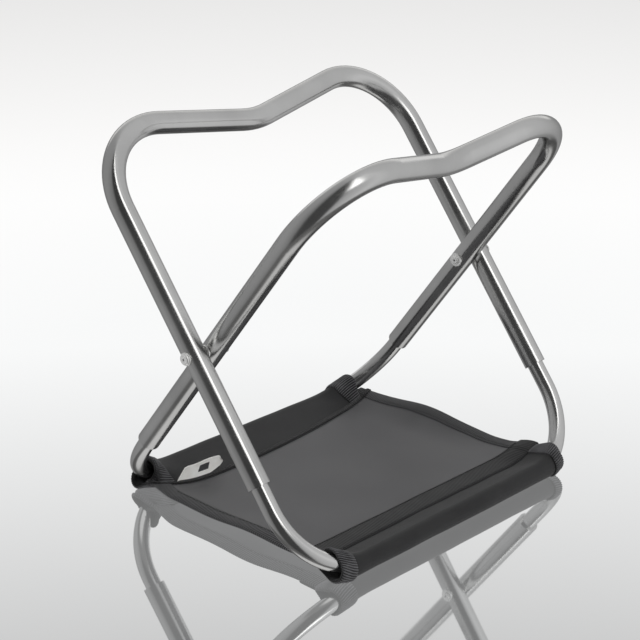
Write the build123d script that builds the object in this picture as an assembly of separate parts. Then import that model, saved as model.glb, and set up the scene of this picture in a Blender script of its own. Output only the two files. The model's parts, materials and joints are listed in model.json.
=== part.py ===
"""Folding camp stool with two crossed tube frames and a cloth seat.

Millimetres. +X to the stool's right, +Y to the back, +Z up. The origin is on the
ground under the middle of the stool. The stool stands open, with its seat flat.
"""

from build123d import *
import math
import os

# Frames: how far each leans from upright when open, and the pivot-to-bar distances
# measured along the legs.
frame_lean = 37.5
seat_reach = 168.6
foot_reach = 161.8

# Leg tubes (large) and seat tubes (small, pushed into the legs' open ends).
leg_radius = 8.0
leg_bore_radius = 6.05
seat_tube_radius = 6.0
seat_tube_bore_radius = 4.8
seat_tube_insert = 36.0
seat_bend_radius = 56.0
foot_bend_radius = 53.0
foot_dip = 26.5
dip_bend_radius = 68.0

# Half widths between leg centres, and how far each leg tube runs above the pivot.
# The inner legs splay a little, so that frame is wider at its seat bar.
outer_half_width = 147.5
inner_half_width = 130.3
outer_splay = 0.0
inner_splay = 0.0206
outer_leg_top = 95.6
inner_leg_top = 107.2

# Pivot rivets and their washers.
rivet_radius = 2.0
rivet_bore_radius = 0.9
rivet_head_radius = 4.0
rivet_head_height = 1.7
rivet_tail_radius = 3.2
rivet_tail_height = 1.5
outer_leg_hole_radius = 2.04
inner_leg_hole_radius = 2.08
washer_bore_radius = 2.1
outer_washer_radius = 4.6
outer_washer_thickness = 0.7
spacer_radius = 5.0
spacer_thickness = 0.8
inner_washer_radius = 5.0
inner_washer_thickness = 1.0
seated_gap = 0.03
running_gap = 0.3

# Seat cloth. Distances called "from_bar" are measured flat from a seat bar's axis.
cloth_half_width = 121.0
cloth_thickness = 1.2
panel_from_bar = 11.6
sleeve_inner_radius = 6.3
sleeve_outer_radius = 7.0
sleeve_lip_from_bar = 11.2
sleeve_lip_root = 5.8
outer_sleeve_half_length = 120.0
inner_sleeve_half_length = 112.0
sleeve_binding_length = 11.0
sleeve_binding_radius = 7.7
seam_from_bar = 18.5
seam_band_width = 18.0
seam_band_thickness = 0.8
binding_width = 11.0
binding_thickness = 2.4
crease_half_width = 29.0
corner_relief_radius = 48.0

# Sewn label on the underside, beside the inner frame's seam band.
label_left = -98.0
label_right = -58.0
label_from_bar_near = 18.0
label_from_bar_far = 34.0
label_thickness = 0.5

lean = math.radians(frame_lean)
pivot_height = foot_reach * math.cos(lean) + leg_radius
bar_height = pivot_height + seat_reach * math.cos(lean)
bar_offset = seat_reach * math.sin(lean)


def frame_plane(side):
    """Plane of one frame: local x across the stool, local y up the legs from the pivot.

    side is +1 for the outer frame, whose seat bar is at the back, and -1 for the inner.
    """
    up_the_legs = Vector(0, side * math.sin(lean), math.cos(lean))
    return Plane(
        origin=(0, 0, pivot_height),
        x_dir=(1, 0, 0),
        z_dir=Vector(1, 0, 0).cross(up_the_legs),
    )


def rounded_path(points, radii):
    """Chain of lines through 2-D points, with an arc of the given radius at each inner one."""
    edges = []
    start = Vector(*points[0])
    for i, radius in enumerate(radii, start=1):
        corner = Vector(*points[i])
        before = (Vector(*points[i - 1]) - corner).normalized()
        after = (Vector(*points[i + 1]) - corner).normalized()
        half_angle = math.acos(max(-1.0, min(1.0, before.dot(after)))) / 2
        setback = radius / math.tan(half_angle)
        bisector = (before + after).normalized()
        centre = corner + bisector * (radius / math.sin(half_angle))
        arc_start = corner + before * setback
        arc_end = corner + after * setback
        edges.append(Line(start, arc_start))
        edges.append(ThreePointArc(arc_start, centre - bisector * radius, arc_end))
        start = arc_end
    edges.append(Line(start, Vector(*points[-1])))
    return Wire(edges)


def rod_along(path, radius):
    """Solid round rod that follows a path."""
    profile = Plane(origin=path @ 0, z_dir=path % 0) * Circle(radius)
    return sweep(profile, path=path, transition=Transition.ROUND)


def tube_along(path, radius, bore_radius):
    """Hollow tube with open ends that follows a path."""
    return rod_along(path, radius) - rod_along(path, bore_radius)


def half_width_at(half_width, splay, height):
    """Distance of a leg's centre from the stool's middle, at a height up the frame."""
    return half_width + splay * height


def foot_corner_height(half_width, splay):
    """Height, in the frame's plane, of the sharp foot corner that the bend rounds off.

    It is chosen so that the rounded corner's furthest point is foot_reach from the pivot.
    """
    dip_angle = math.atan2(foot_dip, half_width_at(half_width, splay, -foot_reach))
    along_bar = Vector(-math.cos(dip_angle), math.sin(dip_angle))
    up_leg = Vector(splay, 1).normalized()
    half_angle = math.acos(along_bar.dot(up_leg)) / 2
    bisector = (along_bar + up_leg).normalized()
    centre_above_corner = foot_bend_radius * bisector.Y / math.sin(half_angle)
    return -foot_reach - centre_above_corner + foot_bend_radius


def leg_path(plane, half_width, splay, leg_top):
    """Centre line of a leg tube: down one leg, across the dipped foot bar, up the other."""
    corner = foot_corner_height(half_width, splay)
    top_x = half_width_at(half_width, splay, leg_top)
    corner_x = half_width_at(half_width, splay, corner)
    points = [
        (-top_x, leg_top),
        (-corner_x, corner),
        (0, corner + foot_dip),
        (corner_x, corner),
        (top_x, leg_top),
    ]
    radii = [foot_bend_radius, dip_bend_radius, foot_bend_radius]
    return plane * rounded_path(points, radii)


def seat_tube_path(plane, half_width, splay, leg_top):
    """Centre line of a seat tube: up out of one leg, along the seat bar, down into the other."""
    end = leg_top - seat_tube_insert
    end_x = half_width_at(half_width, splay, end)
    bar_x = half_width_at(half_width, splay, seat_reach)
    points = [(-end_x, end), (-bar_x, seat_reach), (bar_x, seat_reach), (end_x, end)]
    return plane * rounded_path(points, [seat_bend_radius, seat_bend_radius])


def seat_bend_start(half_width, splay):
    """Distance from the stool's middle at which a seat bar starts to bend down."""
    bar_x = half_width_at(half_width, splay, seat_reach)
    half_angle = (math.pi / 2 - math.atan(splay)) / 2
    return bar_x - seat_bend_radius / math.tan(half_angle)


def cylinder_across(x_from, x_to, radius):
    """Cylinder on the pivot axis between two distances from the middle."""
    plane = Plane(origin=(min(x_from, x_to), 0, pivot_height), z_dir=(1, 0, 0))
    return extrude(plane * Circle(radius), amount=abs(x_to - x_from))


def ring_across(x_from, x_to, radius, bore_radius):
    """Flat washer on the pivot axis."""
    return cylinder_across(x_from, x_to, radius) - cylinder_across(x_from, x_to, bore_radius)


def sleeve_lip(side, half_length):
    """Flattened fold of a sleeve that points from the bar towards the seat's middle."""
    outline = Polyline(
        (0, sleeve_lip_root),
        (sleeve_lip_from_bar, cloth_thickness / 2),
        (sleeve_lip_from_bar, -cloth_thickness / 2),
        (0, -sleeve_lip_root),
        close=True,
    )
    section = Plane(
        origin=(-half_length, side * bar_offset, bar_height),
        x_dir=(0, -side, 0),
        z_dir=(1, 0, 0),
    )
    return extrude(section * make_face(outline), amount=2 * half_length)


def sleeve_section(side, half_width, splay, x, radius):
    """Slot-shaped cross-section of a sleeve, at a distance x from the stool's middle.

    The sleeve runs straight, while the bar inside it bends down at both ends, so the slot
    gets longer towards each end.
    """
    past_bend = max(0.0, abs(x) - seat_bend_start(half_width, splay))
    bar_inside_radius = seat_bend_radius - seat_tube_radius
    bar_bottom = seat_bend_radius - math.sqrt(bar_inside_radius**2 - past_bend**2)
    spread = bar_bottom - seat_tube_radius + 0.02
    down_the_frame = Vector(0, -side * math.sin(lean), -math.cos(lean))
    plane = Plane(
        origin=(x, side * bar_offset, bar_height), x_dir=down_the_frame, z_dir=(1, 0, 0)
    )
    return plane * (Pos(spread / 2, 0) * SlotCenterToCenter(spread, 2 * radius))


def sleeve_volume(side, half_width, splay, half_length, radius):
    """Space inside a sleeve's skin at a given radius round the bar."""
    start = seat_bend_start(half_width, splay)
    steps = 8
    one_end = [start + (half_length - start) * i / steps for i in range(steps + 1)]
    stations = [-x for x in reversed(one_end)] + one_end
    sections = [sleeve_section(side, half_width, splay, x, radius) for x in stations]
    return loft(sections, ruled=True)


def sleeve_parts(side, half_width, splay, half_length):
    """Cloth sleeve round a seat bar, and the bindings that finish its two open ends."""
    lip = sleeve_lip(side, half_length)
    bore = sleeve_volume(side, half_width, splay, half_length + 2, sleeve_inner_radius)
    skin = sleeve_volume(side, half_width, splay, half_length, sleeve_outer_radius) + lip
    bound = sleeve_volume(side, half_width, splay, half_length, sleeve_binding_radius) + lip
    middle_length = 2 * (half_length - sleeve_binding_length)
    middle = Pos(0, side * bar_offset, bar_height) * Box(middle_length, 100, 100)
    cloth = (skin - bore) & middle
    ends = bound - bore - middle
    return cloth, ends


def flat_block(side, x_low, x_high, bar_near, bar_far, z_low, z_high):
    """Box in the seat's plane, placed by its distances from the bar on one side."""
    y_near = side * (bar_offset - bar_near)
    y_far = side * (bar_offset - bar_far)
    size = (x_high - x_low, abs(y_near - y_far), z_high - z_low)
    centre = ((x_low + x_high) / 2, (y_near + y_far) / 2, bar_height + (z_low + z_high) / 2)
    return Pos(*centre) * Box(*size)


def corner_reliefs(side, half_width, splay):
    """The two corner regions that would meet the bent seat tube as the stool closes."""
    start = seat_bend_start(half_width, splay)
    reliefs = []
    for hand in (-1, 1):
        near = min(hand * start, hand * (cloth_half_width + 5))
        far = max(hand * start, hand * (cloth_half_width + 5))
        block = flat_block(side, near, far, 0, seat_bend_radius, -5, 5)
        centre = (hand * start, side * (bar_offset - seat_bend_radius), bar_height)
        reliefs.append(block - Pos(*centre) * Cylinder(corner_relief_radius, 12))
    return reliefs


def cloth_strip(side, bar_near, bar_far):
    """Strip of the seat from one side edge to the other: the panel and its two side bindings.

    The cloth's edges that lie folded inside the tape are part of the binding solids.
    """
    inner_edge = cloth_half_width - binding_width
    half_cloth = cloth_thickness / 2
    half_binding = binding_thickness / 2
    panel = flat_block(side, -inner_edge, inner_edge, bar_near, bar_far, -half_cloth, half_cloth)
    bindings = []
    for hand in (-1, 1):
        low = min(hand * inner_edge, hand * cloth_half_width)
        high = max(hand * inner_edge, hand * cloth_half_width)
        bindings.append(
            flat_block(side, low, high, bar_near, bar_far, -half_binding, half_binding)
        )
    return panel, bindings


def seat_half(side, half_width, splay):
    """Panel, side bindings and corners of the half of the seat hung from one bar."""
    cloth, bindings = cloth_strip(side, panel_from_bar, bar_offset - crease_half_width)
    reliefs = corner_reliefs(side, half_width, splay)
    corners = [((cloth + bindings[i]) & relief) for i, relief in enumerate(reliefs)]
    panel = cloth - reliefs[0] - reliefs[1]
    edges = [binding - relief for binding, relief in zip(bindings, reliefs)]
    return panel, edges, corners


def seam_band(side, half_width, splay):
    """Band sewn flat under the panel along a sleeve's seam."""
    half_length = cloth_half_width - binding_width - 0.5
    top = -cloth_thickness / 2
    band = flat_block(
        side,
        -half_length,
        half_length,
        seam_from_bar,
        seam_from_bar + seam_band_width,
        top - seam_band_thickness,
        top,
    )
    reliefs = corner_reliefs(side, half_width, splay)
    return band - reliefs[0] - reliefs[1]


def rivet(hand):
    """Tubular pivot rivet with a domed outer head and a rolled inner end."""
    outer_face = outer_half_width + leg_radius + outer_washer_thickness + 2 * seated_gap
    inner_face = inner_half_width - leg_radius - running_gap - inner_washer_thickness - seated_gap
    head_end = outer_face + rivet_head_height
    tail_end = inner_face - rivet_tail_height
    shank = cylinder_across(hand * (inner_face - 0.5), hand * (outer_face + 0.5), rivet_radius)
    head = cylinder_across(hand * outer_face, hand * head_end, rivet_head_radius)
    rim = head.edges().filter_by(GeomType.CIRCLE).group_by(Axis.X)[-1 if hand > 0 else 0]
    head = fillet(rim, rivet_head_height * 0.8)
    tail = cylinder_across(hand * tail_end, hand * inner_face, rivet_tail_radius)
    rim = tail.edges().filter_by(GeomType.CIRCLE).group_by(Axis.X)[0 if hand > 0 else -1]
    tail = fillet(rim, rivet_tail_height * 0.6)
    bore = cylinder_across(hand * (tail_end - 1), hand * (head_end + 1), rivet_bore_radius)
    return shank + head + tail - bore


def write(name, *shapes):
    """Write one node, as separate solids where it has several."""
    solids = [solid for shape in shapes for solid in shape.solids()]
    shape = solids[0] if len(solids) == 1 else Compound(children=solids)
    export_step(shape, f"parts/{name}.step")


os.makedirs("parts", exist_ok=True)

frames = {
    "outer": (
        1,
        outer_half_width,
        outer_splay,
        outer_leg_top,
        outer_leg_hole_radius,
        outer_sleeve_half_length,
    ),
    "inner": (
        -1,
        inner_half_width,
        inner_splay,
        inner_leg_top,
        inner_leg_hole_radius,
        inner_sleeve_half_length,
    ),
}
for name, (side, half_width, splay, leg_top, hole_radius, sleeve_length) in frames.items():
    plane = frame_plane(side)
    legs = tube_along(leg_path(plane, half_width, splay, leg_top), leg_radius, leg_bore_radius)
    for hand in (-1, 1):
        legs -= cylinder_across(
            hand * (half_width - leg_radius - 3), hand * (half_width + leg_radius + 3), hole_radius
        )
    write(f"{name}_leg_tube", legs)
    seat_path = seat_tube_path(plane, half_width, splay, leg_top)
    write(f"{name}_seat_tube", tube_along(seat_path, seat_tube_radius, seat_tube_bore_radius))

    cloth, ends = sleeve_parts(side, half_width, splay, sleeve_length)
    write(f"sleeve_{name}", cloth)
    write(f"sleeve_end_bindings_{name}", ends)
    panel, edges, corners = seat_half(side, half_width, splay)
    write(f"seat_panel_{name}", panel)
    write(f"edge_bindings_{name}", *edges)
    write(f"seat_corners_{name}", *corners)
    write(f"seam_band_{name}", seam_band(side, half_width, splay))

# The middle of the seat, where the cloth folds as the stool closes.
strip, strip_bindings = cloth_strip(
    1, bar_offset - crease_half_width, bar_offset + crease_half_width
)
write("seat_panel_crease", strip)
write("edge_bindings_crease", *strip_bindings)

label_top = -cloth_thickness / 2 - seam_band_thickness
label = flat_block(
    -1,
    label_left,
    label_right,
    label_from_bar_near,
    label_from_bar_far,
    label_top - label_thickness,
    label_top,
)
write("seat_label", label)

write("pivot_rivet_left", rivet(-1))
write("pivot_rivet_right", rivet(1))

outer_side = outer_half_width + leg_radius + seated_gap
between = outer_half_width - leg_radius - seated_gap
inner_side = inner_half_width - leg_radius - running_gap
washers = {
    "outer_washers": (outer_side, outer_side + outer_washer_thickness, outer_washer_radius),
    "spacer_washers": (between - spacer_thickness, between, spacer_radius),
    "inner_washers": (inner_side - inner_washer_thickness, inner_side, inner_washer_radius),
}
for name, (near, far, radius) in washers.items():
    rings = [ring_across(hand * near, hand * far, radius, washer_bore_radius) for hand in (-1, 1)]
    write(name, *rings)
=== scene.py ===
import json
import math

import bpy
from mathutils import Matrix, Vector, noise


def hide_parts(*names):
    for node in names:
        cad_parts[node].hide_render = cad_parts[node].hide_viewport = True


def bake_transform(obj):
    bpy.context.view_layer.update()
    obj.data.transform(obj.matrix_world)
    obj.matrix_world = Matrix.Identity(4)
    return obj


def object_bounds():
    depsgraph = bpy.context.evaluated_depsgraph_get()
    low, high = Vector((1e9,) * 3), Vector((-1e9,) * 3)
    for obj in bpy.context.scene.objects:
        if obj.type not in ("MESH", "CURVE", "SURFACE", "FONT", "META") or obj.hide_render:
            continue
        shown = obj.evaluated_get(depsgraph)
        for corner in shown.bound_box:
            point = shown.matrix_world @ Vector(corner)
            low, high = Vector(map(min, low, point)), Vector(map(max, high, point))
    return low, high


# A folding camp stool, modelled standing on its feet. The main camera is turned over, so its
# picture shows the stool lying on its seat with its feet in the air. That picture's floor is a
# pale sheet at the level of the seat's top, seen only from below. A second pale sheet at the
# feet is seen only from above. Distances are in metres.

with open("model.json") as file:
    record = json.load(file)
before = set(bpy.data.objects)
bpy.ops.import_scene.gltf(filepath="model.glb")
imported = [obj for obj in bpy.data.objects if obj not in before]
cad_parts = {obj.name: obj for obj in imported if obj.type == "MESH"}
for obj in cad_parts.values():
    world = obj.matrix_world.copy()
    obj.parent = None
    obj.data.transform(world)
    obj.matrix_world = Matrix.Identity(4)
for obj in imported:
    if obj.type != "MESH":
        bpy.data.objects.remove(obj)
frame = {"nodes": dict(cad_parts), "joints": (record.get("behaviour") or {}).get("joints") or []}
cad_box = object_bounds()

joints = {joint["name"]: joint for joint in frame["joints"]}
pivot = Vector(joints["frame_fold"]["pos_m"])
outer_bar = Vector(joints["outer_half_swing"]["pos_m"])
bar_offset = outer_bar.y
bar_height = outer_bar.z
lean = math.atan2(outer_bar.y - pivot.y, outer_bar.z - pivot.z)

# The two halves of the seat: which side of the stool its bar is on, the bodies, how far from
# the middle the bar starts to bend, where the sleeve's left and right ends are, how much further
# out each end is at the seat's top than at its underside, and the widths of the cuffs on them.
# The sleeve's seam is furthest from the bar at seam_peak. To its left and right it comes nearer,
# by a distance over a reach, on a curve with a power. The fold gives two distances from the plane
# through the bar and its legs, for the cloth's turn as the stool folds, but no turn is made here.
HALVES = {
    "outer": {
        "side": 1,
        "frame": "outer_frame",
        "half": "seat_half_outer",
        "bend_start": 0.0915,
        "sleeve": (-0.1225, 0.1190),
        "slant": (0.0045, 0.0),
        "cuffs": (0.0130, 0.0105),
        "seam_far": 0.0190,
        "seam_peak": 0.0,
        "seam_left": (0.0012, 0.120, 2.2),
        "seam_right": (0.0012, 0.120, 2.2),
        "band_width": 0.0180,
        "fold": (0.0030, 0.0180),
    },
    "inner": {
        "side": -1,
        "frame": "inner_frame",
        "half": "seat_half_inner",
        "bend_start": 0.0766,
        "sleeve": (-0.1130, 0.1108),
        "slant": (0.0075, 0.0060),
        "cuffs": (0.0135, 0.0150),
        "seam_far": 0.0328,
        "seam_peak": -0.045,
        "seam_left": (0.0188, 0.067, 4.0),
        "seam_right": (0.0162, 0.157, 2.0),
        "band_width": 0.0045,
        "fold": (0.0020, 0.0300),
    },
}
BEND_RADIUS = 0.056
BAR_RADIUS = 0.006

# Seat cloth, its sleeves, and the cuffs on their open ends.
CLOTH_THICKNESS = 0.0009
SLEEVE_RADIUS = 0.0070
SLEEVE_THICKNESS = 0.0008
MOUTH_DRAW_IN = 0.0028
MOUTH_REACH = 0.014
SLANT_REACH = 0.034
CUFF_HEIGHT = 0.0015
CUFF_GIRTH = 0.078
RIB_PITCH = 0.0018
RIB_DEPTH = 0.0003

# Tapes, threads and label sewn to the cloth. The depths are how far under the cloth the seam
# bands and the label lie, on average.
EDGE_TAPE_WIDTH = 0.0115
EDGE_TAPE_END = 0.0090
TAPE_LAP = 0.0015
BAND_DEPTH = 0.0011
STITCH_RADIUS = 0.00022
ZIGZAG_RADIUS = 0.0004
LABEL_THICKNESS = 0.0004
LABEL_DEPTH = 0.0060


# ---------------------------------------------------------------- materials


def new_material(name):
    material = bpy.data.materials.new(name)
    material.use_nodes = True
    tree = material.node_tree
    return material, tree, tree.nodes["Principled BSDF"]


def add(tree, kind, **settings):
    """New node with its properties and unlinked inputs set by name."""
    node = tree.nodes.new(kind)
    for name, value in settings.items():
        if name in node.inputs:
            node.inputs[name].default_value = value
        else:
            setattr(node, name, value)
    return node


def ramp(tree, source, low, high, low_at=0.0, high_at=1.0):
    """Colour ramp between two colours, driven by a value."""
    node = tree.nodes.new("ShaderNodeValToRGB")
    node.color_ramp.elements[0].position = low_at
    node.color_ramp.elements[1].position = high_at
    node.color_ramp.elements[0].color = (*low, 1)
    node.color_ramp.elements[1].color = (*high, 1)
    tree.links.new(source, node.inputs["Fac"])
    return node.outputs["Color"]


def map_range(tree, source, low, high, from_low=0.0, from_high=1.0):
    node = tree.nodes.new("ShaderNodeMapRange")
    node.inputs["From Min"].default_value = from_low
    node.inputs["From Max"].default_value = from_high
    node.inputs["To Min"].default_value = low
    node.inputs["To Max"].default_value = high
    tree.links.new(source, node.inputs["Value"])
    return node.outputs["Result"]


def math_node(tree, operation, first, second=None):
    node = tree.nodes.new("ShaderNodeMath")
    node.operation = operation
    for i, value in enumerate((first, second)):
        if value is None:
            continue
        if isinstance(value, (int, float)):
            node.inputs[i].default_value = value
        else:
            tree.links.new(value, node.inputs[i])
    return node.outputs["Value"]


def mix_shaders(tree, amount, first, second):
    """Mix Shader node: the second shader shows by the amount, a value or a socket."""
    node = tree.nodes.new("ShaderNodeMixShader")
    if isinstance(amount, (int, float)):
        node.inputs["Fac"].default_value = amount
    else:
        tree.links.new(amount, node.inputs["Fac"])
    tree.links.new(first, node.inputs[1])
    tree.links.new(second, node.inputs[2])
    return node.outputs[0]


def object_coordinates(tree):
    return tree.nodes.new("ShaderNodeTexCoord").outputs["Object"]


def noise_value(tree, vector, scale, detail=4.0):
    node = add(tree, "ShaderNodeTexNoise", Scale=scale, Detail=detail)
    tree.links.new(vector, node.inputs["Vector"])
    return node.outputs["Fac"]


def stripes(tree, vector, pitch, direction, distortion=0.0):
    """Soft parallel ridges along one axis, a pitch apart."""
    node = add(tree, "ShaderNodeTexWave", bands_direction=direction, Distortion=distortion)
    node.inputs["Scale"].default_value = math.pi / (10 * pitch)
    tree.links.new(vector, node.inputs["Vector"])
    return node.outputs["Fac"]


def set_bump(tree, shader, heights, strength, distance):
    """Bump from the sum of several height values."""
    total = heights[0]
    for height in heights[1:]:
        total = math_node(tree, "ADD", total, height)
    bump = add(tree, "ShaderNodeBump", Strength=strength, Distance=distance)
    tree.links.new(total, bump.inputs["Height"])
    tree.links.new(bump.outputs["Normal"], shader.inputs["Normal"])


def polished_metal(name, low, high, roughness, metallic, edge_tint):
    """Drawn and polished metal: faint smears, fine grain and uneven shine."""
    material, tree, shader = new_material(name)
    coords = object_coordinates(tree)
    smear = noise_value(tree, coords, 22.0, 5.0)
    fine = noise_value(tree, coords, 700.0, 2.0)
    tree.links.new(ramp(tree, smear, low, high, 0.3, 0.75), shader.inputs["Base Color"])
    shader.inputs["Metallic"].default_value = metallic
    rough = map_range(tree, smear, roughness * 0.8, roughness * 1.3, 0.3, 0.7)
    tree.links.new(rough, shader.inputs["Roughness"])
    shader.inputs["Specular Tint"].default_value = (edge_tint, edge_tint, edge_tint, 1)
    set_bump(tree, shader, [fine], 0.06, 0.0002)
    return material


def woven_cloth(name, low, high, roughness, thread_pitch, depth, sheen, shine):
    """Plain weave over a slow variation of colour."""
    material, tree, shader = new_material(name)
    coords = object_coordinates(tree)
    tone = noise_value(tree, coords, 24.0, 6.0)
    weft = stripes(tree, coords, thread_pitch, "X", 0.5)
    warp = stripes(tree, coords, thread_pitch, "Y", 0.5)
    grain = noise_value(tree, coords, 1100.0, 2.0)
    weave = math_node(tree, "MULTIPLY", weft, warp)
    colour = math_node(tree, "ADD", tone, math_node(tree, "MULTIPLY", grain, 0.25))
    tree.links.new(ramp(tree, colour, low, high, 0.45, 0.85), shader.inputs["Base Color"])
    rough = map_range(tree, tone, roughness - 0.06, roughness + 0.06, 0.3, 0.7)
    tree.links.new(rough, shader.inputs["Roughness"])
    shader.inputs["Specular IOR Level"].default_value = shine
    shader.inputs["Sheen Weight"].default_value = sheen
    shader.inputs["Sheen Roughness"].default_value = 0.5
    set_bump(tree, shader, [weave, grain], 0.5, depth)
    return material


def ribbed_tape(name, low, high, direction, depth):
    """Grosgrain tape: raised ribs across it, with painted shade in the gaps between them."""
    material, tree, shader = new_material(name)
    coords = object_coordinates(tree)
    ribs = stripes(tree, coords, RIB_PITCH, direction, 0.3)
    tone = noise_value(tree, coords, 60.0, 4.0)
    # Painted shade: the ribs darken the base colour in the gaps between them and lighten it on their
    # crests.
    colour = math_node(tree, "ADD", math_node(tree, "MULTIPLY", tone, 0.5), ribs)
    tree.links.new(ramp(tree, colour, low, high, 0.35, 1.2), shader.inputs["Base Color"])
    rough = map_range(tree, tone, 0.70, 0.86, 0.3, 0.7)
    tree.links.new(rough, shader.inputs["Roughness"])
    shader.inputs["Specular IOR Level"].default_value = 0.3
    shader.inputs["Sheen Weight"].default_value = 0.12
    fuzz = math_node(tree, "MULTIPLY", noise_value(tree, coords, 1400.0, 2.0), 0.5)
    set_bump(tree, shader, [ribs, fuzz], 0.8, depth)
    return material


def fuzzy_yarn(name, low, high, ribbed=False):
    """Matt black yarn. On tape whose ribs are in its mesh, the gaps between them get painted shade and the
    crests a lighter colour.
    """
    material, tree, shader = new_material(name)
    coords = object_coordinates(tree)
    tone = noise_value(tree, coords, 90.0, 4.0)
    fuzz = noise_value(tree, coords, 1500.0, 3.0)
    if ribbed:
        # Painted shade: the mesh's rib value darkens the colour in the gaps between ribs and lightens it on
        # their crests.
        rib_shade = add(tree, "ShaderNodeAttribute", attribute_name="rib_shade").outputs["Fac"]
        tone = math_node(tree, "ADD", math_node(tree, "MULTIPLY", rib_shade, 0.30), tone)
    tree.links.new(ramp(tree, tone, low, high, 0.25, 0.80), shader.inputs["Base Color"])
    tree.links.new(map_range(tree, fuzz, 0.65, 0.85, 0.3, 0.7), shader.inputs["Roughness"])
    shader.inputs["Specular IOR Level"].default_value = 0.35
    shader.inputs["Sheen Weight"].default_value = 0.15
    set_bump(tree, shader, [fuzz], 0.5, 0.0002)
    return material


def label_cloth(name, low, high):
    """Satin label cloth."""
    material, tree, shader = new_material(name)
    coords = object_coordinates(tree)
    threads = stripes(tree, coords, 0.0005, "X", 0.4)
    tone = noise_value(tree, coords, 120.0, 3.0)
    tree.links.new(ramp(tree, tone, low, high, 0.3, 0.7), shader.inputs["Base Color"])
    tree.links.new(map_range(tree, tone, 0.40, 0.55), shader.inputs["Roughness"])
    set_bump(tree, shader, [threads], 0.3, 0.0001)
    return material


MATERIALS = {
    "leg": polished_metal(
        "polished_leg_tube", low=(0.72, 0.72, 0.71), high=(0.85, 0.85, 0.84),
        roughness=0.19, metallic=1.0, edge_tint=0.5,
    ),
    "seat_tube": polished_metal(
        "polished_seat_tube", low=(0.76, 0.76, 0.75), high=(0.89, 0.89, 0.88),
        roughness=0.17, metallic=1.0, edge_tint=0.6,
    ),
    "fastener": polished_metal(
        "bright_fastener", low=(0.86, 0.86, 0.85), high=(0.97, 0.97, 0.96),
        roughness=0.22, metallic=0.75, edge_tint=1.0,
    ),
    "panel": woven_cloth(
        "coated_seat_cloth", low=(0.042, 0.042, 0.044), high=(0.066, 0.066, 0.069),
        roughness=0.50, thread_pitch=0.0007, depth=0.00006, sheen=0.08, shine=0.38,
    ),
    "sleeve": woven_cloth(
        "sleeve_cloth", low=(0.010, 0.010, 0.0105), high=(0.021, 0.0212, 0.0218),
        roughness=0.60, thread_pitch=0.0006, depth=0.00012, sheen=0.05, shine=0.26,
    ),
    # The edge tape and the seam band get painted shade in the gaps between their ribs.
    "edge_tape": ribbed_tape(
        "edge_tape", low=(0.002, 0.002, 0.0025), high=(0.050, 0.050, 0.053), direction="Y", depth=0.0005
    ),
    "band": ribbed_tape(
        "seam_band_tape", low=(0.005, 0.005, 0.005), high=(0.019, 0.019, 0.020), direction="X", depth=0.0002
    ),
    # The cuffs get painted shade in the gaps between their ribs.
    "cuff": fuzzy_yarn("cuff_tape", low=(0.002, 0.002, 0.0025), high=(0.080, 0.080, 0.085), ribbed=True),
    "thread": fuzzy_yarn("black_thread", low=(0.004, 0.004, 0.004), high=(0.012, 0.012, 0.013)),
    "label": label_cloth("label_satin", low=(0.80, 0.78, 0.74), high=(0.95, 0.95, 0.93)),
    "label_mark": label_cloth("label_mark", low=(0.040, 0.040, 0.042), high=(0.060, 0.060, 0.064)),
}


# ---------------------------------------------------------------- mesh helpers


def mesh_object(name, vertices, faces, material):
    """Smooth-shaded object with crisp folds where its faces meet at a sharp angle."""
    mesh = bpy.data.meshes.new(name)
    mesh.from_pydata([tuple(v) for v in vertices], [], faces)
    mesh.validate()
    for polygon in mesh.polygons:
        polygon.use_smooth = True
    mesh.set_sharp_from_angle(angle=math.radians(50))
    mesh.materials.append(MATERIALS[material])
    piece = bpy.data.objects.new(name, mesh)
    bpy.context.scene.collection.objects.link(piece)
    return piece


def skin(name, rows, material, ring_rows=False, ring_columns=False, caps=None):
    """Surface through rows of points. A ring joins its last row or column to its first.

    Flat caps close the first and last rows of a solid, and strip caps close those of a sheet.
    """
    columns = len(rows[0])
    last_row = len(rows) if ring_rows else len(rows) - 1
    last_column = columns if ring_columns else columns - 1
    vertices = [point for row in rows for point in row]
    faces = []
    for i in range(last_row):
        for j in range(last_column):
            a = i * columns
            b = (i + 1) % len(rows) * columns
            k = (j + 1) % columns
            faces.append((a + j, a + k, b + k, b + j))
    last = (len(rows) - 1) * columns
    if caps == "flat":
        faces.append(tuple(reversed(range(columns))))
        faces.append(tuple(last + j for j in range(columns)))
    if caps == "strip":
        for j in range(columns // 2 - 1):
            k = columns - 1 - j
            faces.append((j, k, k - 1, j + 1))
            faces.append((last + j, last + j + 1, last + k - 1, last + k))
    return mesh_object(name, vertices, faces, material)


def sheet_rows(place, rows, columns, thickness):
    """Closed rows round a sheet: over its upper face and back along its lower face."""
    loops = []
    for i in range(rows):
        upper = [place(i / (rows - 1), j / (columns - 1), thickness / 2) for j in range(columns)]
        lower = [place(i / (rows - 1), j / (columns - 1), -thickness / 2) for j in range(columns)]
        loops.append(upper + lower[::-1])
    return loops


def smoothstep(value, low, high):
    t = max(0.0, min(1.0, (value - low) / (high - low)))
    return t * t * (3 - 2 * t)


def bump_at(value, middle, width):
    """Smooth bump of height 1."""
    return math.exp(-(((value - middle) / width) ** 2))


def ripple(x, y, z, scale, seed):
    """Smooth noise in about -1 to 1, the same on every run."""
    return noise.noise(Vector((x * scale + seed, y * scale, z * scale)))


# ---------------------------------------------------------------- the seat's shape


def edge_x(hand, y):
    """Where the cloth's left or right free edge is, at a distance y from the middle."""
    if hand > 0:
        return 0.1215
    wave = 0.0030 * (1 - (y / 0.09) ** 2)
    drawn_in = 0.0070 * smoothstep(-y, 0.055, 0.095)
    return -(0.1180 + wave - drawn_in)


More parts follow.
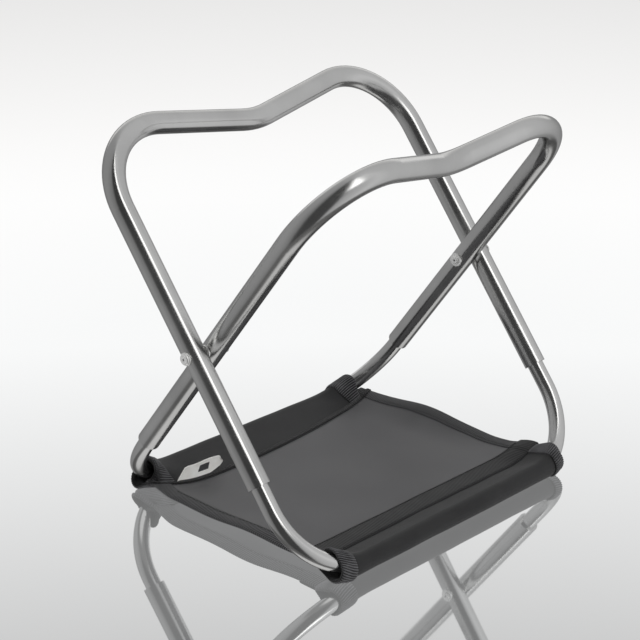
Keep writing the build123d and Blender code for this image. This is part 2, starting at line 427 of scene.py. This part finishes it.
def edge_curl(hand, y):
    """How far a free edge curls down, at a distance y from the middle."""
    if hand > 0:
        back_wave = 0.0045 * bump_at(y, -0.024, 0.032)
        front_dip = -0.0016 * bump_at(y, 0.044, 0.016)
        front_corner = 0.0050 * smoothstep(y, 0.056, 0.082)
        return 0.0030 + back_wave + front_dip + front_corner
    return 0.0012 + 0.0016 * bump_at(y, 0.01, 0.05) + 0.0007 * math.sin(y * 80)


def seat_height(x, y):
    """Height of the cloth's middle over the plane through both seat bars."""
    hand = 1 if x > 0 else -1
    reach = abs(x / edge_x(hand, y))
    curl = edge_curl(hand, y) * smoothstep(reach, 0.66, 1.04) ** 1.5
    middle = max(0.0, 1 - (y / 0.085) ** 2)
    slack = 0.0010 * ripple(x, y, 0, 18.0, 3.0) * middle
    belly = 0.0012 * middle * max(0.0, 1 - reach**2)
    return belly + slack - curl


def seat_point(side, x, from_bar, above=0.0):
    """Point on the seat, given by its distance from a bar, and height over the cloth's middle."""
    y = side * (bar_offset - from_bar)
    return Vector((x, y, bar_height + seat_height(x, y) + above))


def seam_distance(half, x):
    """Distance of the sleeve's seam from the bar, at x."""
    past_peak = x - half["seam_peak"]
    fall, reach, power = half["seam_left" if past_peak < 0 else "seam_right"]
    return half["seam_far"] - fall * min(1.04, abs(past_peak) / reach) ** power


def mouth_draw_in(half, x):
    """How far a sleeve's top is drawn in towards the bent bar, near its ends."""
    left, right = half["sleeve"]
    to_end = x - left if x < 0 else right - x
    return MOUTH_DRAW_IN * (1 - smoothstep(to_end, 0.0, MOUTH_REACH))


def bar_drop(half, x):
    """How far the inside of the bent bar has left the straight line of the sleeve, at x."""
    past_bend = max(0.0, abs(x) - half["bend_start"])
    inside = BEND_RADIUS - BAR_RADIUS
    return BEND_RADIUS - math.sqrt(inside**2 - past_bend**2) - BAR_RADIUS


def taut_outline(half, x, grow, count):
    """Outline of a sleeve at x, pulled taut round the bar, the bent bar and the seam.

    The points are evenly spaced, from the seam round the bar and back.
    """
    side = half["side"]
    seam = seam_distance(half, x)
    seam_height = seat_height(x, side * (bar_offset - seam))
    drops = (mouth_draw_in(half, x), bar_drop(half, x))
    circles = [(d * math.sin(lean), -d * math.cos(lean), SLEEVE_RADIUS + grow) for d in drops]
    circles.append((seam, seam_height, 0.0008 + grow))
    corners = []
    steps = 120
    for i in range(steps + 1):
        angle = 2 * math.pi * i / steps
        across = math.cos(angle)
        up = math.sin(angle)
        centre = max(circles, key=lambda c: c[0] * across + c[1] * up + c[2])
        corners.append(Vector((centre[0] + across * centre[2], centre[1] + up * centre[2])))
    lengths = [0.0]
    for a, b in zip(corners, corners[1:]):
        lengths.append(lengths[-1] + (b - a).length)
    outline = []
    k = 0
    for i in range(count):
        target = lengths[-1] * i / count
        while lengths[k + 1] < target:
            k += 1
        span = lengths[k + 1] - lengths[k]
        t = (target - lengths[k]) / span if span else 0.0
        from_bar, height = corners[k].lerp(corners[k + 1], t)
        outline.append(Vector((x, side * (bar_offset - from_bar), bar_height + height)))
    return outline


def sleeve_ring(half, x, outward, count=72):
    """Closed ring round a sleeve. outward gives each point's distance out of the taut outline.

    Near a slanted end, the ring slants like the end.
    """
    unit = 0.001
    hand = 0 if x < 0 else 1
    to_end = x - half["sleeve"][0] if hand == 0 else half["sleeve"][1] - x
    slant = half["slant"][hand] * (1 - smoothstep(to_end, 0.0, SLANT_REACH)) * math.copysign(0.5, x)
    near = taut_outline(half, x, 0.0, count)
    far = taut_outline(half, x, unit, count)
    ring = []
    for i, (a, b) in enumerate(zip(near, far)):
        point = a + (b - a) * (outward(i, a) / unit)
        level = max(-1.0, min(1.0, (a.z - bar_height) / SLEEVE_RADIUS))
        ring.append(point + Vector((slant * level, 0, 0)))
    return ring


def follow_fold(piece, half, under=0.0):
    """Bakes the piece's placing into its mesh; the cloth is not made to follow the frame.

    It works out two planes parallel to the leg frame, at the half's fold distances from the bar,
    set back by the depth of a piece that lies under the cloth, but does nothing with them.
    """
    side = half["side"]
    bar = Vector((0, side * bar_offset, bar_height))
    away_from_legs = Vector((0, -side * math.cos(lean), math.sin(lean)))
    shift = under * math.sin(lean)
    start, end = (bar + away_from_legs * (distance - shift) for distance in half["fold"])
    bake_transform(piece)
    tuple(start)
    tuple(end)


# ---------------------------------------------------------------- the seat's pieces


def seat_panel(name, half):
    """The cloth of one half of the seat, from the middle crease to its seam."""
    side = half["side"]

    def place(t, s, above):
        y_guess = side * bar_offset * t
        left = edge_x(-1, y_guess) + TAPE_LAP
        right = edge_x(1, y_guess) - TAPE_LAP
        x = left + (right - left) * s
        from_bar = bar_offset + (seam_distance(half, x) - TAPE_LAP - bar_offset) * t
        return seat_point(side, x, from_bar, above)

    rows = sheet_rows(place, 49, 97, CLOTH_THICKNESS)
    return skin(f"seat_cloth_{name}", rows, "panel", ring_columns=True, caps="strip")


def sleeve(name, half):
    """Cloth sleeve round a seat bar, flaring a little at each end where the bar bends away."""
    left, right = half["sleeve"]
    stations = 101
    places = [left + (right - left) * i / (stations - 1) for i in range(stations)]

    def outside(i, point):
        dent = ripple(point.x * 0.8, point.y, point.z, 45.0, 11.0 + half["side"])
        return 0.0004 * dent

    def inside(i, point):
        return outside(i, point) - SLEEVE_THICKNESS

    rings = [sleeve_ring(half, x, outside) for x in places]
    rings += [sleeve_ring(half, x, inside) for x in reversed(places)]
    cover = skin(f"sleeve_cloth_{name}", rings, "sleeve", ring_rows=True, ring_columns=True)
    girths = []
    for ring in rings[:stations]:
        girths.append(sum((b - a).length for a, b in zip(ring, ring[1:] + ring[:1])))
    return cover, (right - left, sum(girths) / stations)


def cuff(name, half, hand):
    """Ribbed tape folded over the rim of a sleeve's open end."""
    rim = half["sleeve"][0 if hand < 0 else 1]
    width = half["cuffs"][0 if hand < 0 else 1]
    points_per_rib = 6
    count = points_per_rib * round(CUFF_GIRTH / RIB_PITCH)
    profile = [
        (width, 0.0),
        (width, CUFF_HEIGHT * 0.7),
        (width - 0.0007, CUFF_HEIGHT),
        (width * 0.66, CUFF_HEIGHT * 1.10),
        (width * 0.33, CUFF_HEIGHT * 1.05),
        (0.0012, CUFF_HEIGHT),
        (0.0002, CUFF_HEIGHT * 0.6),
        (-0.0004, 0.0),
        (0.0001, -0.0008),
        (0.0012, -0.0013),
        (width * 0.8, -0.0013),
        (width * 0.8, -0.0004),
    ]
    rings = []
    ribs = []
    for inward, height in profile:
        depth = RIB_DEPTH if height >= CUFF_HEIGHT * 0.5 else 0.0

        def outward(i, point):
            return height + depth * math.cos(2 * math.pi * i / points_per_rib)

        rings.append(sleeve_ring(half, rim - hand * inward, outward, count))
        for i in range(count):
            ribs.append(math.cos(2 * math.pi * i / points_per_rib) if depth else -0.6)
    where = "left" if hand < 0 else "right"
    piece = skin(f"cuff_{name}_{where}", rings, "cuff", ring_rows=True, ring_columns=True)
    # The rib value per point is stored for the cuff's colour: painted shade in the gaps between ribs,
    # lighter crests, and a darker tone on the rows without ribs.
    piece.data.attributes.new("rib_shade", "FLOAT", "POINT").data.foreach_set("value", ribs)
    return piece


def edge_tape(name, half, hand):
    """Folded tape that finishes one free side edge of the cloth."""
    side = half["side"]
    rows = 71
    over = CLOTH_THICKNESS / 2 + 0.00015
    thick = 0.0005
    loops = []
    for i in range(rows):
        from_bar = bar_offset + (EDGE_TAPE_END - bar_offset) * i / (rows - 1)
        y = side * (bar_offset - from_bar)
        outer = abs(edge_x(hand, y))
        inner = outer - EDGE_TAPE_WIDTH + 0.0010 * ripple(hand, y, 0, 40.0, 7.0)
        profile = [
            (inner, over),
            (inner, over + thick),
            (inner + 0.0006, over + thick * 1.25),
            (inner * 0.5 + outer * 0.5, over + thick * 1.4),
            (outer - 0.0010, over + thick * 1.25),
            (outer - 0.0002, over + thick * 0.6),
            (outer, 0.0),
            (outer - 0.0002, -over - thick * 0.6),
            (outer - 0.0010, -over - thick * 1.25),
            (inner * 0.5 + outer * 0.5, -over - thick * 1.4),
            (inner + 0.0006, -over - thick * 1.25),
            (inner, -over - thick),
            (inner, -over),
            (outer - 0.0009, -over * 0.4),
            (outer - 0.0009, over * 0.4),
        ]
        loops.append([seat_point(side, hand * x, from_bar, above) for x, above in profile])
    where = "left" if hand < 0 else "right"
    return skin(f"edge_tape_{name}_{where}", loops, "edge_tape", ring_columns=True, caps="flat")


def over_edge_tape(x):
    """From 0 on the open cloth to 1 where something lies on top of an edge tape."""
    return smoothstep(abs(x), 0.1070, 0.1110)


def seam_band(name, half):
    """Band sewn under the cloth along a sleeve's seam, from one side edge to the other."""
    side = half["side"]
    columns = 161
    width = half["band_width"]
    left = edge_x(-1, side * 0.08) - 0.0004
    right = edge_x(1, side * 0.08) - 0.0010
    steps = [i / 12 for i in range(1, 12)]
    section = [(0, 0.0), (0.02, 0.0007)]
    section += [(t, 0.0010 + 0.0001 * math.sin(math.pi * t)) for t in steps]
    section += [(0.98, 0.0007), (1, 0.0)]
    section += [(t, 0.0) for t in reversed(steps)]
    loops = []
    for j in range(columns):
        x = left + (right - left) * j / (columns - 1)
        under = 0.0006 + 0.0008 * over_edge_tape(x)
        start = seam_distance(half, x) + 0.0004
        loops.append([seat_point(side, x, start + width * t, -under - depth) for t, depth in section])
    return skin(f"band_tape_{name}", loops, "band", ring_columns=True, caps="flat")


def thread_along(name, points, radius):
    """One thread drawn through points."""
    curve = bpy.data.curves.new(name, "CURVE")
    curve.dimensions = "3D"
    curve.bevel_depth = radius
    curve.bevel_resolution = 1
    curve.use_fill_caps = True
    spline = curve.splines.new("POLY")
    spline.points.add(len(points) - 1)
    for point, place in zip(spline.points, points):
        point.co = (*place, 1)
    line = bpy.data.objects.new(name, curve)
    bpy.context.scene.collection.objects.link(line)
    bpy.context.view_layer.update()
    mesh = bpy.data.meshes.new_from_object(line.evaluated_get(bpy.context.evaluated_depsgraph_get()))
    bpy.data.objects.remove(line)
    mesh.materials.clear()
    mesh.materials.append(MATERIALS["thread"])
    for polygon in mesh.polygons:
        polygon.use_smooth = True
    piece = bpy.data.objects.new(name, mesh)
    bpy.context.scene.collection.objects.link(piece)
    return piece


def zigzag_stitch(name, half):
    """Zigzag thread over the free edge of a seam band."""
    side = half["side"]
    half_pitch = 0.0012
    reach = 0.1165
    count = int(2 * reach / half_pitch)
    points = []
    for i in range(count):
        x = -reach + half_pitch * i
        on_band = i % 2 == 0
        from_bar = seam_distance(half, x) + half["band_width"] + (-0.0012 if on_band else 0.0016)
        under = (0.0018 if on_band else 0.0006) + 0.0008 * over_edge_tape(x)
        points.append(seat_point(side, x, from_bar, -under))
    return thread_along(f"zigzag_thread_{name}", points, ZIGZAG_RADIUS)


def running_stitches(name, places, radius):
    """Separate short stitches, each an arched thread between two points."""
    vertices = []
    faces = []
    sides = 5
    for start, end, out in places:
        along = (end - start).normalized()
        across = along.cross(out).normalized()
        base = len(vertices)
        steps = 5
        for k in range(steps):
            t = k / (steps - 1)
            middle = start.lerp(end, t) + out * (radius * (1.6 * math.sin(math.pi * t) - 0.6))
            for m in range(sides):
                angle = 2 * math.pi * m / sides
                offset = across * math.cos(angle) + out * math.sin(angle)
                vertices.append(middle + offset * radius)
        for k in range(steps - 1):
            for m in range(sides):
                n = (m + 1) % sides
                row = base + k * sides
                faces.append((row + m, row + n, row + sides + n, row + sides + m))
        faces.append(tuple(base + m for m in reversed(range(sides))))
        faces.append(tuple(base + (steps - 1) * sides + m for m in range(sides)))
    return mesh_object(name, vertices, faces, "thread")


def edge_stitches(name, half, hand):
    """Running stitch along an edge tape, near its inner edge, on both faces."""
    side = half["side"]
    pitch = 0.0034
    count = int((bar_offset - 0.040) / pitch)
    places = []
    for i in range(count):
        from_bar = bar_offset - 0.002 - i * pitch
        y = side * (bar_offset - from_bar)
        x = hand * (abs(edge_x(hand, y)) - EDGE_TAPE_WIDTH + 0.0022)
        for face in (-1, 1):
            lift = face * (CLOTH_THICKNESS / 2 + 0.0008)
            start = seat_point(side, x, from_bar, lift)
            end = seat_point(side, x, from_bar - 0.0023, lift)
            places.append((start, end, Vector((0, 0, face))))
    where = "left" if hand < 0 else "right"
    return running_stitches(f"edge_thread_{name}_{where}", places, STITCH_RADIUS)


def seam_stitches(name, half):
    """Running stitch that holds the sleeve's seam and the band, seen on the band."""
    side = half["side"]
    pitch = 0.0036
    reach = 0.104
    count = int(2 * reach / pitch)
    places = []
    for i in range(count):
        x = -reach + pitch * i
        inset = min(0.0020, half["band_width"] * 0.45)
        start = seat_point(side, x, seam_distance(half, x) + inset, -0.0017)
        end = seat_point(side, x + 0.0024, seam_distance(half, x + 0.0024) + inset, -0.0017)
        places.append((start, end, Vector((0, 0, -1))))
    return running_stitches(f"seam_thread_{name}", places, STITCH_RADIUS)


def sewn_label(half):
    """Small leaf-shaped label sewn into the inner seam at its left. Its right end stands off.

    Its only mark is a plain dark block.
    """
    side = half["side"]
    columns = 49
    rows = 25

    def place(t, s, above):
        # t runs from the sewn edge to the free edge, and s from left to right.
        bottom_x = -0.0985 + 0.0390 * s
        top_x = -0.0915 + 0.0330 * s
        rounding = 0.0020 * (2 * t - 1) ** 2 * smoothstep(s, 0.88, 1.0)
        x = bottom_x + (top_x - bottom_x) * t - rounding
        bottom = 0.0010 + 0.0030 * smoothstep(s, 0.62, 1.0)
        arch = 0.0024 * math.sin(math.pi * min(1.0, s * 0.75))
        shoulder = 0.0032 * smoothstep(s, 0.82, 1.0) ** 2
        top = 0.0110 + arch - shoulder
        drop = bottom + (top - bottom) * t
        curl = 0.0006 * math.sin(7 * s + 0.5) * t + 0.0012 * t**2
        root = max(seam_distance(half, bottom_x) + 0.0006, 0.0275)
        return Vector((x, side * (bar_offset - root - curl - above), bar_height - drop))

    loops = sheet_rows(place, rows, columns, LABEL_THICKNESS)
    piece = skin("sewn_label", loops, "label", ring_columns=True, caps="strip")
    piece.data.materials.append(MATERIALS["label_mark"])
    mark_rows = range(round(0.30 * rows), round(0.74 * rows))
    mark_columns = range(round(0.38 * columns), round(0.64 * columns))
    for i in mark_rows:
        for j in mark_columns:
            piece.data.polygons[i * 2 * columns + j].material_index = 1
    return piece


def build_seat():
    for name, half in HALVES.items():
        panel = seat_panel(name, half)
        cover, cover_size = sleeve(name, half)
        band = seam_band(name, half)
        cuffs = [cuff(name, half, hand) for hand in (-1, 1)]
        tapes = [edge_tape(name, half, hand) for hand in (-1, 1)]
        seam_threads = [zigzag_stitch(name, half), seam_stitches(name, half)]
        edge_threads = [edge_stitches(name, half, hand) for hand in (-1, 1)]
        for piece in [panel, cover] + cuffs + tapes + edge_threads:
            follow_fold(piece, half)
        for piece in [band] + seam_threads:
            follow_fold(piece, half, under=BAND_DEPTH)
        if name == "inner":
            label = sewn_label(half)
            follow_fold(label, half, under=LABEL_DEPTH)
            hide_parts("seat_label")
        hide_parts(f"seat_panel_{name}", f"seat_corners_{name}", "seat_panel_crease")
        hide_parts(f"sleeve_{name}")
        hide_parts(f"seam_band_{name}")
        for piece in cuffs:
            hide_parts(f"sleeve_end_bindings_{name}")
        for piece in tapes:
            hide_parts(f"edge_bindings_{name}", "edge_bindings_crease")


def dress_metal():
    """Polished metal on the tubes and fasteners that come from the CAD model."""
    looks = {
        "leg": ["outer_leg_tube", "inner_leg_tube"],
        "seat_tube": ["outer_seat_tube", "inner_seat_tube"],
        "fastener": [
            "pivot_rivet_left",
            "pivot_rivet_right",
            "outer_washers",
            "spacer_washers",
            "inner_washers",
        ],
    }
    for material, nodes in looks.items():
        for node in nodes:
            piece = frame["nodes"][node]
            piece.data.materials.clear()
            piece.data.materials.append(MATERIALS[material])


# ---------------------------------------------------------------- stage, light and camera

CAMERA_TARGET = Vector((0.0088, -0.0341, 0.1626))
CAMERA_DISTANCE = 1.400
CAMERA_HEADING = math.radians(46.93)
CAMERA_TILT = math.radians(20.46)
CAMERA_LENS = 108.4


def place_camera():
    """Camera below the stool and turned over, so that the stool appears upside down."""
    forward = Vector(
        (
            math.sin(CAMERA_HEADING) * math.cos(CAMERA_TILT),
            -math.cos(CAMERA_HEADING) * math.cos(CAMERA_TILT),
            math.sin(CAMERA_TILT),
        )
    )
    right = Vector((math.cos(CAMERA_HEADING), math.sin(CAMERA_HEADING), 0))
    up = right.cross(forward)
    data = bpy.data.cameras.new("camera")
    data.lens = CAMERA_LENS
    data.sensor_width = 36.0
    camera = bpy.data.objects.new("camera", data)
    bpy.context.scene.collection.objects.link(camera)
    turn = Matrix((right, up, -forward)).transposed().to_4x4()
    camera.matrix_world = Matrix.Translation(CAMERA_TARGET - forward * CAMERA_DISTANCE) @ turn
    bpy.context.scene.camera = camera


def stage_sheet(name, height, facing, reflection, glow):
    """Round pale sheet that shows from one side only and fades out towards its edge.

    A sheet with a glow is lit evenly, and one without it takes soft shadows. Its gloss fades out
    at a glancing angle.
    """
    bpy.ops.mesh.primitive_circle_add(vertices=96, radius=1.2, fill_type="NGON")
    disc = bpy.context.object
    disc.name = name
    disc.location = (0, 0, height)
    if facing < 0:
        disc.rotation_euler = (math.pi, 0, 0)
    material = bpy.data.materials.new(name)
    material.use_nodes = True
    tree = material.node_tree
    tree.nodes.clear()
    output = tree.nodes.new("ShaderNodeOutputMaterial")
    length = add(tree, "ShaderNodeVectorMath", operation="LENGTH")
    tree.links.new(object_coordinates(tree), length.inputs[0])
    fade = map_range(tree, length.outputs["Value"], 1.0, 0.0, 0.40, 1.05)
    geometry = tree.nodes.new("ShaderNodeNewGeometry")
    front = math_node(tree, "SUBTRACT", 1.0, geometry.outputs["Backfacing"])
    shown = math_node(tree, "MULTIPLY", fade, front)
    if glow:
        matte = add(tree, "ShaderNodeEmission", Strength=glow, Color=(0.99, 1.0, 1.0, 1))
    else:
        matte = add(tree, "ShaderNodeBsdfDiffuse", Color=(0.82, 0.82, 0.82, 1))
    gloss = add(tree, "ShaderNodeBsdfAnisotropic", Roughness=0.03, Color=(0.862, 0.871, 0.876, 1))
    glancing = tree.nodes.new("ShaderNodeLayerWeight").outputs["Facing"]
    gloss_amount = map_range(tree, glancing, reflection, 0.0, 0.78, 0.88)
    surface = mix_shaders(tree, gloss_amount, matte.outputs[0], gloss.outputs[0])
    clear = tree.nodes.new("ShaderNodeBsdfTransparent")
    tree.links.new(mix_shaders(tree, shown, clear.outputs[0], surface), output.inputs["Surface"])
    disc.data.materials.append(material)
    disc.visible_diffuse = False
    disc.visible_glossy = False
    disc.visible_shadow = False
    disc.visible_transmission = False


def area_light(name, place, target, size, power):
    """Soft light that metal doesn't mirror: metal mirrors the studio's walls instead."""
    data = bpy.data.lights.new(name, "AREA")
    data.shape = "RECTANGLE"
    data.size, data.size_y = size
    data.energy = power
    light = bpy.data.objects.new(name, data)
    bpy.context.scene.collection.objects.link(light)
    light.location = place
    direction = Vector(target) - Vector(place)
    light.rotation_euler = direction.to_track_quat("-Z", "Y").to_euler()
    light.visible_glossy = False


# Brightness of the studio walls that metal mirrors, by heading in degrees from +X towards +Y.
WALLS = {
    -180: 0.17,
    -172: 0.20,
    -140: 0.27,
    -90: 0.30,
    -60: 0.44,
    -40: 0.49,
    45: 0.50,
    62: 0.60,
    78: 0.48,
    100: 0.40,
    110: 0.30,
    114: 0.045,
    165: 0.040,
    174: 0.07,
    180: 0.17,
}
WINDOW = 1.75
SCREEN_HEADING = math.radians(-43)


def mirrored_walls(tree, heading):
    """Studio walls as metal sees them: mid grey, with a dark bay."""
    turn = map_range(tree, heading, 0.0, 1.0, -math.pi, math.pi)
    walls = tree.nodes.new("ShaderNodeValToRGB")
    elements = walls.color_ramp.elements
    for degrees, brightness in WALLS.items():
        position = (degrees + 180) / 360
        if degrees in (-180, 180):
            element = elements[0 if degrees < 0 else -1]
            element.position = position
        else:
            element = elements.new(position)
        element.color = (brightness, brightness, brightness * 1.01, 1)
    tree.links.new(turn, walls.inputs["Fac"])
    return walls.outputs["Color"]


def studio_world():
    """Pale plain backdrop for the camera, grey walls for metal, and an even fill for the rest."""
    world = bpy.data.worlds.new("studio")
    bpy.context.scene.world = world
    world.use_nodes = True
    tree = world.node_tree
    tree.nodes.clear()
    output = tree.nodes.new("ShaderNodeOutputWorld")
    coords = tree.nodes.new("ShaderNodeTexCoord")
    split = tree.nodes.new("ShaderNodeSeparateXYZ")
    tree.links.new(coords.outputs["Generated"], split.inputs[0])
    height = split.outputs["Z"]

    heading = math_node(tree, "ARCTAN2", split.outputs["Y"], split.outputs["X"])
    walls = add(tree, "ShaderNodeBackground", Strength=1.0)
    tree.links.new(mirrored_walls(tree, heading), walls.inputs["Color"])

    # A low bright window beside the dark bay.
    window = add(tree, "ShaderNodeBackground", Strength=WINDOW)
    window_start = map_range(tree, heading, 0.0, 1.0, math.radians(82), math.radians(89))
    window_end = map_range(tree, heading, 1.0, 0.0, math.radians(108), math.radians(112))
    window_top = map_range(tree, height, 1.0, 0.0, -0.56, -0.40)
    across_window = math_node(tree, "MULTIPLY", window_start, window_end)
    window_amount = math_node(tree, "MULTIPLY", across_window, window_top)
    lit_walls = mix_shaders(tree, window_amount, walls.outputs[0], window.outputs[0])

    # High up there is a dark valance, and over it a lit ceiling.
    valance = add(tree, "ShaderNodeBackground", Strength=0.11)
    ceiling = add(tree, "ShaderNodeBackground", Strength=0.60)
    valance_amount = map_range(tree, height, 0.0, 1.0, 0.62, 0.70)
    ceiling_amount = map_range(tree, height, 0.0, 1.0, 0.87, 0.93)
    dim_top = mix_shaders(tree, valance_amount, lit_walls, valance.outputs[0])
    room = mix_shaders(tree, ceiling_amount, dim_top, ceiling.outputs[0])

    # The stage sheets mirror this pale screen behind the stool.
    screen = tree.nodes.new("ShaderNodeBackground")
    screen_level = map_range(tree, height, 0.63, 1.14, -0.50, -0.36)
    tree.links.new(screen_level, screen.inputs["Strength"])
    sideways = math_node(tree, "MULTIPLY", split.outputs["X"], math.cos(SCREEN_HEADING))
    backward = math_node(tree, "MULTIPLY", split.outputs["Y"], math.sin(SCREEN_HEADING))
    toward_screen = math_node(tree, "ADD", sideways, backward)
    on_screen = map_range(tree, toward_screen, 0.0, 1.0, 0.70, 0.78)
    below = map_range(tree, height, 1.0, 0.0, -0.24, -0.18)
    screen_amount = math_node(tree, "MULTIPLY", on_screen, below)
    mirrored = mix_shaders(tree, screen_amount, room, screen.outputs[0])

    fill = add(tree, "ShaderNodeBackground", Strength=0.60)
    backdrop = tree.nodes.new("ShaderNodeBackground")
    tree.links.new(map_range(tree, height, 0.80, 1.02, 0.18, 0.29), backdrop.inputs["Strength"])
    path = tree.nodes.new("ShaderNodeLightPath")
    for_rays = mix_shaders(tree, path.outputs["Is Glossy Ray"], fill.outputs[0], mirrored)
    seen = mix_shaders(tree, path.outputs["Is Camera Ray"], for_rays, backdrop.outputs[0])
    tree.links.new(seen, output.inputs["Surface"])
    for background in (window, fill, backdrop, screen, valance, ceiling):
        background.inputs["Color"].default_value = (1.0, 0.995, 0.99, 1)


def light_studio():
    """The same lights stand above and below the stool, so both its faces are lit alike."""
    studio_world()
    middle = 0.14
    centre = (0, 0, middle)
    for name, upward in (("above", 1), ("below", -1)):
        area_light(f"soft_{name}", (-0.3, 0.2, middle + upward * 1.3), centre, (1.6, 1.6), 9)
        area_light(f"side_{name}", (-1.3, -0.5, middle + upward * 0.5), centre, (0.5, 1.4), 4.5)
        area_light(f"back_{name}", (0.9, 1.2, middle + upward * 0.5), centre, (0.5, 1.4), 7)
    bpy.context.scene.view_settings.view_transform = "Standard"


dress_metal()
build_seat()
stage_sheet("ground_sheet", cad_box[0][2], 1, 0.08, 0.0)
stage_sheet("seat_side_sheet", cad_box[1][2] + 0.0006, -1, 0.7975, 0.80)
light_studio()
place_camera()
